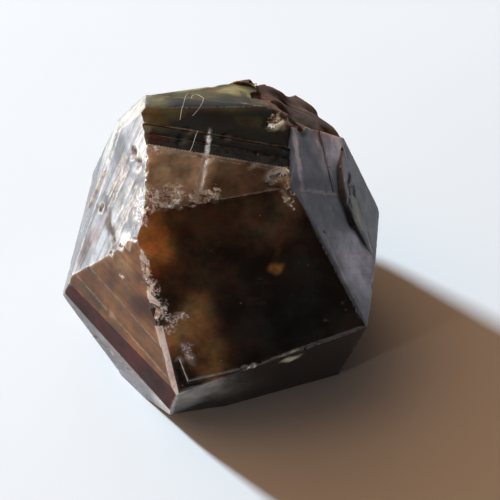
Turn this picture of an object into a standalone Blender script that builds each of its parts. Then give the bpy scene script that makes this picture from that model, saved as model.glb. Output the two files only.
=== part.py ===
# Garnet crystal: one loose, slightly distorted crystal of dodecahedral and trapezohedral faces,
# about 26 mm across, lying on one of its flat faces.
#
# The body is a block of stone cut by one plane for each crystal face. Ledges, striae, grooves
# and chips are then cut out of it with Booleans. Lengths are in millimetres and angles in
# degrees until the last step, which writes metres. The centre of growth is the working origin.
import math
import random

import bmesh
import bpy
from mathutils import Matrix, Vector

NODE = "garnet_crystal"
MM = 0.001
BLOCK = 60.0            # side of the block that the faces are cut from
REACH = 3.0             # how far a cutter stands out of the stone

# Each face: bearing of its outward direction (from +X towards +Y), its tilt from straight up,
# and its distance from the centre of growth.
FACES = {
    "front": (-81.0, 59.5, 9.00),
    "brow": (-84.0, 31.0, 11.25),
    "crown": (-41.5, 9.0, 12.55),
    "rim": (85.0, 27.0, 13.25),
    "left": (-136.0, 78.0, 10.90),
    "upper_left": (-164.0, 62.5, 11.25),
    "flank": (171.5, 73.5, 11.20),
    "keel": (-138.0, 91.5, 11.50),
    "under_left": (-139.5, 97.5, 11.90),
    "right": (-11.0, 57.0, 11.00),
    "far_right": (-3.0, 64.0, 11.60),
    "right_wall": (-7.0, 104.0, 12.30),
    "foot": (-71.0, 105.5, 11.55),
    "front_under": (-98.5, 151.5, 12.40),
    "shoulder": (43.0, 45.5, 12.75),
    "far_shoulder": (26.5, 74.0, 13.00),
    "left_shoulder": (159.5, 55.5, 13.30),
    "back_slope": (110.0, 69.5, 11.05),
    "back_right": (25.5, 103.0, 13.15),
    "back_left": (166.5, 121.0, 12.60),
    "heel": (-174.0, 133.0, 12.60),
    "rest": (0.0, 180.0, 8.75),
}
# Faces that lie exactly opposite another one, and their own distances.
OPPOSITE = {"front": 12.35, "upper_left": 13.20, "brow": 12.40, "left": 12.40}

CROWN_LINE = -55.5      # run of the crown's ledges, as an angle on the crown face
STRIA_LINE = -78.0      # run of the striae on the upper left face
LEFT_LINE = -13.0       # run of the growth lines on the left face


def direction(bearing, tilt):
    b, t = math.radians(bearing), math.radians(tilt)
    return Vector((math.sin(t) * math.cos(b), math.sin(t) * math.sin(b), math.cos(t)))


def plane(face):
    """Outward direction of a face and its distance from the centre of growth."""
    if face.startswith("-"):
        bearing, tilt, _ = FACES[face[1:]]
        return -direction(bearing, tilt), OPPOSITE[face[1:]]
    bearing, tilt, distance = FACES[face]
    return direction(bearing, tilt), distance


def face_frame(face):
    """Placement of a face: x runs level along it, y up its slope, z out of it."""
    normal, distance = plane(face)
    level = Vector((0, 0, 1)).cross(normal)
    level = level.normalized() if level.length > 1e-6 else Vector((1, 0, 0))
    slope = normal.cross(level)
    frame = Matrix((level, slope, normal)).transposed().to_4x4()
    return Matrix.Translation(normal * distance) @ frame


def corner(a, b, c):
    """The point where three faces meet."""
    rows = [plane(face) for face in (a, b, c)]
    return Matrix([n for n, _ in rows]).inverted() @ Vector([d for _, d in rows])


# ---- cutters -------------------------------------------------------------------------------

def new_collection(name):
    collection = bpy.data.collections.new(name)
    bpy.context.scene.collection.children.link(collection)
    return collection


def add_cutter(name, bm, placement=Matrix(), operation="DIFFERENCE"):
    """Keep a tool solid and queue its Boolean on the crystal."""
    bm.transform(placement)
    bmesh.ops.recalc_face_normals(bm, faces=bm.faces)
    mesh = bpy.data.meshes.new(name)
    bm.to_mesh(mesh)
    bm.free()
    cutter = bpy.data.objects.new(name, mesh)
    cutter.hide_render = True
    cutter.display_type = "WIRE"
    cutters.objects.link(cutter)
    boolean = crystal.modifiers.new(name, "BOOLEAN")
    boolean.operation = operation
    boolean.solver = "EXACT"
    boolean.object = cutter


def box(size, centre):
    bm = bmesh.new()
    bmesh.ops.create_cube(bm, size=1.0)
    bmesh.ops.scale(bm, vec=size, verts=bm.verts)
    bmesh.ops.translate(bm, vec=centre, verts=bm.verts)
    return bm


def ledge(name, face, start, angle, length, width, depth, lean=0.0):
    """Lower a strip of a face. It starts at a point, runs at an angle, and lies left of its run."""
    bm = box((length, width, depth + REACH), (length / 2, width / 2, (REACH - depth) / 2))
    turn = Matrix.Rotation(math.radians(angle), 4, "Z") @ Matrix.Rotation(math.radians(lean), 4, "X")
    add_cutter(name, bm, face_frame(face) @ Matrix.Translation((*start, 0)) @ turn)


def groove(name, face, start, end, width, depth, taper=0.6):
    """Cut a V-shaped groove into a face, narrower at its far end."""
    run = Vector(end) - Vector(start)
    bm = bmesh.new()
    bmesh.ops.create_cone(bm, cap_ends=True, segments=4, radius1=1.0, radius2=taper, depth=run.length)
    bmesh.ops.scale(bm, vec=(1.5 * depth, 0.75 * width, 1.0), verts=bm.verts)
    lay = Matrix.Rotation(math.radians(90), 4, "Y")
    turn = Matrix.Rotation(math.atan2(run.y, run.x), 4, "Z")
    middle = (Vector(start) + Vector(end)) / 2
    add_cutter(name, bm, face_frame(face) @ Matrix.Translation((*middle, 0.5 * depth)) @ turn @ lay)


def chip(name, where, outward, width, depth, seed, detail=2, stretch=1.0, spin=0.0):
    """Take a shell-shaped chip out of the surface at a point."""
    rng = random.Random(seed)
    radius = (width * width / 4 + depth * depth) / (2 * depth)
    bm = bmesh.new()
    bmesh.ops.create_icosphere(bm, subdivisions=detail, radius=radius)
    for vert in bm.verts:
        vert.co *= 1 + rng.uniform(-0.5, 0.5) * depth / radius
    bmesh.ops.scale(bm, vec=(stretch, 1.0, 1.0), verts=bm.verts)
    aim = outward.to_track_quat("Z", "Y").to_matrix().to_4x4()
    turn = Matrix.Rotation(math.radians(spin if spin else rng.uniform(0, 360)), 4, "Z")
    centre = where + outward * (radius - depth)
    add_cutter(name, bm, Matrix.Translation(centre) @ aim @ turn)


def face_chip(name, face, at, width, depth, seed, **shape):
    frame = face_frame(face)
    chip(name, frame @ Vector((*at, 0)), frame.to_3x3() @ Vector((0, 0, 1)), width, depth, seed, **shape)


def edge_chips(name, face_a, face_b, start, end, count, width, depth, seed):
    """Nibble the edge between two faces, from one point of it to another."""
    rng = random.Random(seed)
    outward = (plane(face_a)[0] + plane(face_b)[0]).normalized()
    for i in range(count):
        at = start.lerp(end, (i + rng.uniform(0.1, 0.9)) / count)
        size = rng.uniform(0.55, 1.25)
        lean = (plane(face_a)[0] - plane(face_b)[0]) * rng.uniform(-0.35, 0.35)
        chip(f"{name}_{i:02d}", at, (outward + lean).normalized(), width * size, depth * size, seed + i)


def edge_bevel(name, face_a, face_b, start, end, depth):
    """Rub the edge between two faces down to a narrow flat."""
    outward = (plane(face_a)[0] + plane(face_b)[0]).normalized()
    along = (end - start).normalized()
    across = outward.cross(along)
    frame = Matrix((along, across, outward)).transposed().to_4x4()
    length = (end - start).length
    bm = box((length, 2 * REACH, REACH), (length / 2, 0, REACH / 2 - depth))
    add_cutter(name, bm, Matrix.Translation(start) @ frame)


# ---- the stone -----------------------------------------------------------------------------

def slice_off(bm, point, outward):
    """Cut away what lies outside a plane and close the cut."""
    bmesh.ops.bisect_plane(bm, geom=bm.verts[:] + bm.edges[:] + bm.faces[:],
                           plane_co=point, plane_no=outward, clear_outer=True)
    bmesh.ops.holes_fill(bm, edges=[e for e in bm.edges if e.is_boundary], sides=0)


def cut_block(raised=None, lift=0.0, sunk=0.0):
    """A cube cut down to the crystal's faces, with one face raised and the others sunk."""
    bm = bmesh.new()
    bmesh.ops.create_cube(bm, size=BLOCK)
    for face in list(FACES) + ["-" + name for name in OPPOSITE]:
        normal, distance = plane(face)
        slice_off(bm, normal * (distance + (lift if face == raised else -sunk)), normal)
    bmesh.ops.dissolve_limit(bm, angle_limit=0.002, verts=bm.verts, edges=bm.edges)
    bmesh.ops.recalc_face_normals(bm, faces=bm.faces)
    return bm


def raise_part(name, face, lift, border, lean):
    """Raise the part of a face that lies left of a border, with leaning walls along it."""
    bm = cut_block(face, lift, 0.02)
    frame = face_frame(face)
    for start, end in zip(border, border[1:]):
        run = (Vector(end) - Vector(start)).normalized()
        wall = Vector((run.y, -run.x, math.sin(math.radians(lean)))).normalized()
        slice_off(bm, frame @ Vector((*start, 0)), frame.to_3x3() @ wall)
    add_cutter(name, bm, operation="UNION")


def raise_growths():
    """The lump that overlaps the right face, and a thin plate along the flank."""
    far_border = ((7.0, 0.8), (4.3, 0.9), (2.1, -0.1), (0.9, -2.1), (0.3, -6.0))
    raise_part("far_mass", "right", 0.36, far_border, lean=20)
    flank_border = ((-7.0, -4.5), (-0.9, -1.6), (0.2, 6.0), (0.5, 8.2))
    raise_part("flank_plate", "flank", 0.22, flank_border, lean=20)


def cut_crown():
    """Parallel growth ledges across the crown, a stepped rim, and a notch at its left end."""
    ledge("crown_ledge_upper", "crown", (-5.2, 10.4), CROWN_LINE, 18, -6.0, 0.24)
    ledge("crown_ledge_lower", "crown", (-5.9, 9.8), CROWN_LINE, 18, -6.0, 0.34)
    ledge("crown_ledge_back", "crown", (0.6, 10.2), CROWN_LINE, 16, 0.7, 0.10)
    ledge("rim_ledge", "rim", (9.0, 1.2), 176, 15, 5.0, 0.22)
    chip("rim_notch", corner("left_shoulder", "flank", "rim"), direction(160, 60), 1.9, 0.55, 3, detail=1)
    face_chip("crown_chip", "crown", (4.6, 0.2), 1.5, 0.32, 5, stretch=1.5, spin=20)
    face_chip("crown_pit", "crown", (-3.4, 6.9), 0.7, 0.14, 6)


def cut_shoulder():
    """The broken corner right of the crown: three shell-shaped scallops."""
    for i, (at, width, depth) in enumerate((
            ((2.6, 4.4), 5.2, 0.50), ((0.2, 0.6), 4.6, 0.45), ((-2.6, 4.4), 4.4, 0.42))):
        face_chip(f"shoulder_scallop_{i}", "shoulder", at, width, depth, 11 + i, detail=3)
    edge_chips("shoulder_edge", "shoulder", "crown", corner("crown", "rim", "shoulder"),
               corner("crown", "right", "shoulder"), 4, 0.9, 0.16, 21)
    edge_chips("shoulder_rim", "shoulder", "rim", corner("crown", "rim", "shoulder"),
               corner("rim", "shoulder", "back_slope"), 4, 0.9, 0.16, 26)


def cut_right():
    """The right face: a cross step, a leaning upper facet, and the groove beside the far face."""
    ledge("right_step", "right", (-3.9, 7.3), -49.5, 8.6, 9.0, 0.05, lean=-0.8)
    groove("far_crack", "right", (6.6, 0.85), (3.9, 0.75), 0.20, 0.16)
    groove("far_crack_low", "right", (4.4, 0.80), (2.5, 0.0), 0.34, 0.16)
    face_chip("far_hollow", "far_right", (0.2, 0.4), 1.9, 0.34, 31, stretch=1.3)
    face_chip("far_hollow_low", "far_right", (-1.1, -0.9), 1.2, 0.26, 32)
    face_chip("far_hollow_upper", "far_right", (2.4, 0.2), 1.9, 0.26, 33, stretch=1.5)
    groove("far_crack_inner", "far_right", (3.6, 0.3), (1.4, 0.2), 0.40, 0.30)
    for i, at in enumerate(((4.3, 3.0), (3.4, 2.0), (-2.6, 0.8))):
        face_chip(f"right_pit_{i}", "right", at, 0.26, 0.09, 36 + i, detail=1)
    edge_chips("right_wall_edge", "right", "right_wall", corner("right", "right_wall", "foot"),
               corner("right", "far_right", "right_wall"), 4, 0.8, 0.12, 41)


def cut_upper_left():
    """The upper left face: coarse striae, chipped corners and a dark wedge at its foot."""
    angle = math.radians(STRIA_LINE)
    run = Vector((math.cos(angle), math.sin(angle)))
    first, last = Vector((-2.75, 5.9)), Vector((1.6, 6.3))
    rng = random.Random(51)
    for i in range(11):
        start = first.lerp(last, i / 10) + run * rng.uniform(-0.2, 0.5)
        end = start + run * rng.uniform(3.2, 4.6)
        groove(f"stria_{i}", "upper_left", start, end, rng.uniform(0.10, 0.20), rng.uniform(0.03, 0.07))
    face_chip("corner_hollow", "upper_left", (-1.9, 7.0), 1.0, 0.24, 61, stretch=1.4)
    face_chip("corner_hollow_low", "upper_left", (-0.6, 7.2), 1.2, 0.24, 62, stretch=1.5)
    face_chip("flank_dimple", "upper_left", (-1.7, 0.8), 0.7, 0.18, 63, stretch=1.3)
    groove("wedge", "upper_left", (2.3, 0.9), (-0.9, 1.3), 1.1, 0.20, taper=0.35)
    edge_chips("brow_side", "upper_left", "brow", corner("upper_left", "brow", "front"),
               corner("upper_left", "brow", "crown"), 6, 0.8, 0.13, 71)
    edge_chips("junction", "upper_left", "left", corner("upper_left", "left", "front"),
               corner("upper_left", "left", "front").lerp(corner("upper_left", "left", "flank"), 0.4),
               4, 1.0, 0.16, 81)


def cut_left():
    """The left face and the narrow bands under it: long growth ledges and a ragged lower edge."""
    ledge("left_ledge_a", "left", (-6.9, -1.6), LEFT_LINE, 15, -4.0, 0.07)
    ledge("left_ledge_b", "left", (-6.6, 0.5), LEFT_LINE, 15, -4.0, 0.05)
    groove("left_line", "left", (-4.2, 1.5), (4.6, -0.6), 0.14, 0.05)
    low, high = corner("under_left", "left", "flank"), corner("under_left", "keel", "foot")
    edge_chips("keel_edge", "keel", "under_left", low.lerp(high, 0.1), high, 7, 0.9, 0.10, 91)
    edge_chips("heel_edge", "under_left", "heel", corner("under_left", "heel", "flank"),
               corner("under_left", "heel", "rest"), 7, 1.5, 0.22, 96)
    groove("keel_line", "under_left", (-4.6, -4.6), (3.2, -4.4), 0.16, 0.06)


def cut_front():
    """The front face: a chipped left edge that is rubbed flat lower down, and a chipped brow."""
    top, bottom = corner("front", "left", "upper_left"), corner("front", "left", "foot")
    edge_chips("left_edge", "front", "left", top.lerp(bottom, 0.08), top.lerp(bottom, 0.58), 13, 1.5, 0.26, 101)
    edge_bevel("left_edge_flat", "front", "left", top.lerp(bottom, 0.56), bottom.lerp(top, -0.02), 0.17)
    face_chip("left_edge_branch", "front", (-4.9, -2.3), 1.4, 0.12, 121, stretch=1.9, spin=10)
    brow_left, brow_right = corner("brow", "front", "upper_left"), corner("brow", "front", "right")
    edge_chips("brow_edge", "brow", "front", brow_left, brow_left.lerp(brow_right, 0.5), 5, 1.7, 0.12, 131)
    face_chip("brow_chip_left", "brow", (-4.5, 2.4), 2.2, 0.20, 141)
    face_chip("brow_chip_middle", "brow", (-1.7, 2.2), 1.5, 0.18, 142)
    face_chip("brow_chip_right", "brow", (4.2, 3.3), 1.5, 0.26, 143, stretch=1.4, spin=30)
    groove("brow_scar", "brow", (-1.0, 7.0), (-2.4, 1.8), 0.34, 0.07, taper=0.8)
    face_chip("foot_chip", "front", (0.8, -7.6), 0.8, 0.16, 151)
    face_chip("foot_chip_right", "front", (3.7, -7.3), 1.3, 0.12, 152, stretch=1.5, spin=18)
    groove("corner_line_a", "front", (-5.2, -5.9), (-4.6, -8.1), 0.16, 0.06)
    groove("corner_line_b", "front", (-4.7, -8.0), (0.3, -7.5), 0.16, 0.06)
    face_chip("corner_hollow_front", "front", (-4.3, -5.1), 1.1, 0.07, 153, stretch=1.4, spin=60)


def cut_hidden_sides():
    """The back and the right wall: the same growth ledges, pits and chipped edges."""
    ledge("back_ledge_a", "back_slope", (-6.0, -1.2), 8, 13, 6.0, 0.12)
    ledge("back_ledge_b", "back_slope", (-5.0, 0.8), 8, 13, 5.0, 0.09)
    ledge("back_ledge_c", "-left", (-6.5, 1.0), -14, 14, 6.0, 0.10)
    groove("back_line", "-left", (-5.0, -2.0), (4.0, -4.2), 0.18, 0.07)
    for i, (face, at, width, depth) in enumerate((
            ("back_slope", (-2.0, -3.0), 1.2, 0.14), ("-left", (3.0, -1.5), 0.9, 0.14),
            ("-upper_left", (1.0, 1.5), 1.4, 0.15), ("back_left", (-1.0, 2.0), 1.6, 0.16),
            ("right_wall", (-1.0, 0.5), 1.0, 0.13), ("-front", (1.0, 2.5), 1.8, 0.18))):
        face_chip(f"back_pit_{i}", face, at, width, depth, 161 + i)
    for i, (a, b, c, d, count) in enumerate((
            ("back_slope", "flank", "rim", "back_left", 5),
            ("back_slope", "far_shoulder", "shoulder", "-left", 4),
            ("foot", "right_wall", "right", "front_under", 3))):
        edge_chips(f"back_edge_{i}", a, b, corner(a, b, c), corner(a, b, d), count, 1.0, 0.15, 171 + 10 * i)


def stone_material():
    material = bpy.data.materials.new("garnet")
    material.use_nodes = True
    shader = material.node_tree.nodes["Principled BSDF"]
    shader.inputs["Base Color"].default_value = (0.075, 0.032, 0.014, 1.0)
    shader.inputs["Roughness"].default_value = 0.22
    shader.inputs["Metallic"].default_value = 0.0
    shader.inputs["IOR"].default_value = 1.78
    return material


def stand_on_origin(mesh):
    """Scale to metres and move the middle of the resting side to the origin."""
    lows = [min(v.co[i] for v in mesh.vertices) for i in range(3)]
    highs = [max(v.co[i] for v in mesh.vertices) for i in range(3)]
    middle = Vector(((lows[0] + highs[0]) / 2, (lows[1] + highs[1]) / 2, lows[2]))
    mesh.transform(Matrix.Scale(MM, 4) @ Matrix.Translation(-middle))


def weld(mesh, distance):
    """Merge the slivers that the cuts leave behind."""
    bm = bmesh.new()
    bm.from_mesh(mesh)
    bmesh.ops.remove_doubles(bm, verts=bm.verts, dist=distance)
    bmesh.ops.triangulate(bm, faces=bm.faces)
    bm.to_mesh(mesh)
    bm.free()


def build_crystal():
    cut_block().to_mesh(crystal.data)
    for cut in (raise_growths, cut_crown, cut_shoulder, cut_right, cut_upper_left, cut_left, cut_front, cut_hidden_sides):
        cut()
    evaluated = crystal.evaluated_get(bpy.context.evaluated_depsgraph_get())
    mesh = bpy.data.meshes.new_from_object(evaluated)
    crystal.modifiers.clear()
    weld(mesh, 0.003)
    stand_on_origin(mesh)
    mesh.materials.clear()
    mesh.materials.append(stone_material())
    crystal.data = mesh


for old in list(bpy.data.objects):
    bpy.data.objects.remove(old, do_unlink=True)
cutters = new_collection("cutters")
crystal = bpy.data.objects.new(NODE, bpy.data.meshes.new(NODE))
new_collection("garnet").objects.link(crystal)
build_crystal()
print(NODE, len(crystal.data.polygons), "triangles")
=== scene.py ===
# Looks for a loose garnet crystal: the stone's refined surface and its finish, the lint on its crown,
# a plain pale floor, a soft window light with a small warm card, and the camera.
import math
import bmesh
import bpy
import numpy as np
from mathutils import Matrix, Vector
from mathutils.bvhtree import BVHTree
from mathutils.geometry import delaunay_2d_cdt
from mathutils.kdtree import KDTree


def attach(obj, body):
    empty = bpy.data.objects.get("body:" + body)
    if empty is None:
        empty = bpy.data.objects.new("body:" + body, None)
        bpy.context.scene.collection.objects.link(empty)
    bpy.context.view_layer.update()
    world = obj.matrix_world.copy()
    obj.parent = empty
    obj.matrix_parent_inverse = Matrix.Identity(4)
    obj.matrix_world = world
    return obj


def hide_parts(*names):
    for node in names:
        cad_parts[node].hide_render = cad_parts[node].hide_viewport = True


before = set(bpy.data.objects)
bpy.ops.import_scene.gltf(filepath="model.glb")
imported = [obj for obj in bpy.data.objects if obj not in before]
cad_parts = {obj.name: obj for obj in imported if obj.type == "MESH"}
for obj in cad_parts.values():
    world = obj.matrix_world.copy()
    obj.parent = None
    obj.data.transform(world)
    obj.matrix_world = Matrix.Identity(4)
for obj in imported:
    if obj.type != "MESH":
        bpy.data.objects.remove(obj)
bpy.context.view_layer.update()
scene = bpy.context.scene
mm = 0.001
inMm = 1000                                            # a length times this is in mm
growthCentre = Vector((0.047, -0.664, 8.75)) * mm      # the faces are placed from here

cameraSet = {
    "distance": 198 * mm, "elevation": 50,
    "aimRight": 2.31 * mm, "aimDown": 0.4125 * mm,     # from the growth centre to the middle of the frame
    "lens": 172.8, "sensor": 36,
    "nearest": 0.001, "farthest": 20,                  # what the camera can see, in m
}


def makeCamera(v):
    e = math.radians(v["elevation"])
    up = Vector((0, math.sin(e), math.cos(e)))
    out = Vector((0, -math.cos(e), math.sin(e)))
    place = growthCentre + out * v["distance"]
    aim = growthCentre + Vector((v["aimRight"], 0, 0)) - up * v["aimDown"]
    look = (aim - place).normalized()
    side = look.cross(up).normalized()
    data = bpy.data.cameras.new("camera")
    data.lens, data.sensor_width = v["lens"], v["sensor"]
    data.clip_start, data.clip_end = v["nearest"], v["farthest"]
    camera = bpy.data.objects.new("camera", data)
    turn = Matrix((side, side.cross(look), -look)).transposed().to_4x4()
    camera.matrix_world = Matrix.Translation(place) @ turn
    scene.collection.objects.link(camera)
    scene.camera = camera


makeCamera(cameraSet)
print("camera ready")


def addNode(tree, kind, inputs=None, **settings):
    node = tree.nodes.new(kind)
    for name, value in settings.items():
        setattr(node, name, value)
    for key, value in (inputs or {}).items():
        if isinstance(value, bpy.types.NodeSocket):
            tree.links.new(value, node.inputs[key])
        else:
            node.inputs[key].default_value = value
    return node


def mathNode(tree, operation, a, b=0.0, clamp=False):
    return addNode(tree, "ShaderNodeMath", {0: a, 1: b}, operation=operation, use_clamp=clamp).outputs[0]


def multiply(tree, a, b):
    return mathNode(tree, "MULTIPLY", a, b)


def scaleAxes(tree, vector, factors):
    return addNode(tree, "ShaderNodeVectorMath", {0: vector, 1: factors}, operation="MULTIPLY").outputs[0]


def noiseNode(tree, vector, scale, detail=2.0, rough=0.5):
    inputs = {"Vector": vector, "Scale": scale, "Detail": detail, "Roughness": rough}
    return addNode(tree, "ShaderNodeTexNoise", inputs).outputs[0]


# A soft step from one value to the other as the input goes from low to high.
def mapRange(tree, value, low, high, to=(0.0, 1.0)):
    inputs = {0: value, 1: low, 2: high, 3: to[0], 4: to[1]}
    return addNode(tree, "ShaderNodeMapRange", inputs, interpolation_type="SMOOTHSTEP").outputs[0]


def mixColour(tree, factor, a, b, blend="MIX"):
    node = addNode(tree, "ShaderNodeMix", data_type="RGBA", blend_type=blend)
    for socket, value in ((node.inputs[0], factor), (node.inputs[6], a), (node.inputs[7], b)):
        if isinstance(value, bpy.types.NodeSocket):
            tree.links.new(value, socket)
        else:
            socket.default_value = value
    return node.outputs[2]


def tint(tree, colour, cast):
    return mixColour(tree, 1.0, colour, cast, "MULTIPLY")


# The crystal's faces: bearing, tilt and distance of the plane in degrees and mm, colour, roughness,
# run of the growth lines in degrees, strength of those lines, and how pale the stone breaks there.
facets = {
    "front": ((-81, 59.5, 9.00), (0.027, 0.018, 0.014), 0.12, 15, 0.10, 0.08),
    "brow": ((-84, 31, 11.25), (0.205, 0.132, 0.088), 0.20, 8, 0.15, 0.12),
    "crown": ((-41.5, 9, 12.55), (0.006, 0.011, 0.013), 0.15, -55.5, 0.12, 0.04),
    "rim": ((85, 27, 13.25), (0.028, 0.018, 0.005), 0.80, 0, 0.30, 0.10),
    "left": ((-136, 78, 10.90), (0.190, 0.072, 0.010), 0.55, -13, 0.65, 0.22),
    "upperLeft": ((-164, 62.5, 11.25), (0.400, 0.425, 0.450), 0.42, -78, 0.80, 0.70),
    "flank": ((171.5, 73.5, 11.20), (0.125, 0.128, 0.142), 0.28, -80, 0.70, 0.60),
    "keel": ((-138, 91.5, 11.50), (0.050, 0.003, 0.003), 0.90, -13, 1.00, 0.30),
    # the lower left face's pale grey is partly painted reflection of the lit paper
    "underLeft": ((-139.5, 97.5, 11.90), (0.145, 0.135, 0.155), 0.30, -13, 0.45, 0.60),
    "leftEdge": ((-110.4, 66.3, 10.99), (0.760, 0.690, 0.690), 0.30, 60, 0.40, 0.90),
    # the right faces' bluish grey is partly painted reflection of a pale sky over the stone's dark body
    "right": ((-11, 57, 11.00), (0.140, 0.160, 0.230), 0.44, -49.5, 0.20, 0.15),
    "farRight": ((-3, 64, 11.60), (0.080, 0.090, 0.120), 0.46, -49.5, 0.30, 0.12),
    "rightWall": ((-7, 104, 12.30), (0.010, 0.010, 0.011), 0.60, 20, 0.30, 0.20),
    "foot": ((-71, 105.5, 11.55), (0.008, 0.009, 0.013), 0.14, 10, 0.15, 0.06),
    "frontUnder": ((-98.5, 151.5, 12.40), (0.030, 0.020, 0.015), 0.25, 0, 0.3, 0.10),
    "shoulder": ((43, 45.5, 12.75), (0.060, 0.018, 0.002), 0.95, 30, 0.15, 0.04),
    "farShoulder": ((26.5, 74, 13.00), (0.060, 0.036, 0.024), 0.30, 30, 0.3, 0.08),
    "leftShoulder": ((159.5, 55.5, 13.30), (0.55, 0.53, 0.47), 0.34, -60, 0.5, 0.35),
    "backSlope": ((110, 69.5, 11.05), (0.100, 0.052, 0.026), 0.26, 8, 0.6, 0.08),
    "backRight": ((25.5, 103, 13.15), (0.050, 0.032, 0.024), 0.32, 20, 0.4, 0.08),
    "backLeft": ((166.5, 121, 12.60), (0.070, 0.042, 0.034), 0.32, 0, 0.5, 0.10),
    "heel": ((-174, 133, 12.60), (0.070, 0.044, 0.038), 0.32, 0, 0.5, 0.10),
    "rest": ((0, 180, 8.75), (0.040, 0.028, 0.022), 0.40, 0, 0.3, 0.10),
    "frontBack": ((99, 120.5, 12.35), (0.050, 0.026, 0.016), 0.24, 15, 0.3, 0.08),
    "upperLeftBack": ((16, 117.5, 13.20), (0.100, 0.080, 0.066), 0.38, -78, 0.9, 0.20),
    "browBack": ((96, 149, 12.40), (0.050, 0.030, 0.020), 0.26, 8, 0.3, 0.08),
    "leftBack": ((44, 102, 12.40), (0.085, 0.040, 0.020), 0.28, -14, 0.7, 0.10),
}
facetNames = list(facets)


def facetPlane(name):
    bearing, tilt, distance = facets[name][0]
    b, t = math.radians(bearing), math.radians(tilt)
    return np.array((math.sin(t) * math.cos(b), math.sin(t) * math.sin(b), math.cos(t))), distance


# How far spots lie under a face, in mm.
def depthUnder(name, spots):
    normal, distance = facetPlane(name)
    return distance - spots @ normal


# Level and upslope directions on a face, and the direction it faces.
def facetAxes(name):
    normal, distance = facetPlane(name)
    level = np.cross((0, 0, 1), normal)
    size = np.linalg.norm(level)
    level = level / size if size > 1e-6 else np.array((1.0, 0, 0))
    return level, np.cross(normal, level), normal
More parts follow.
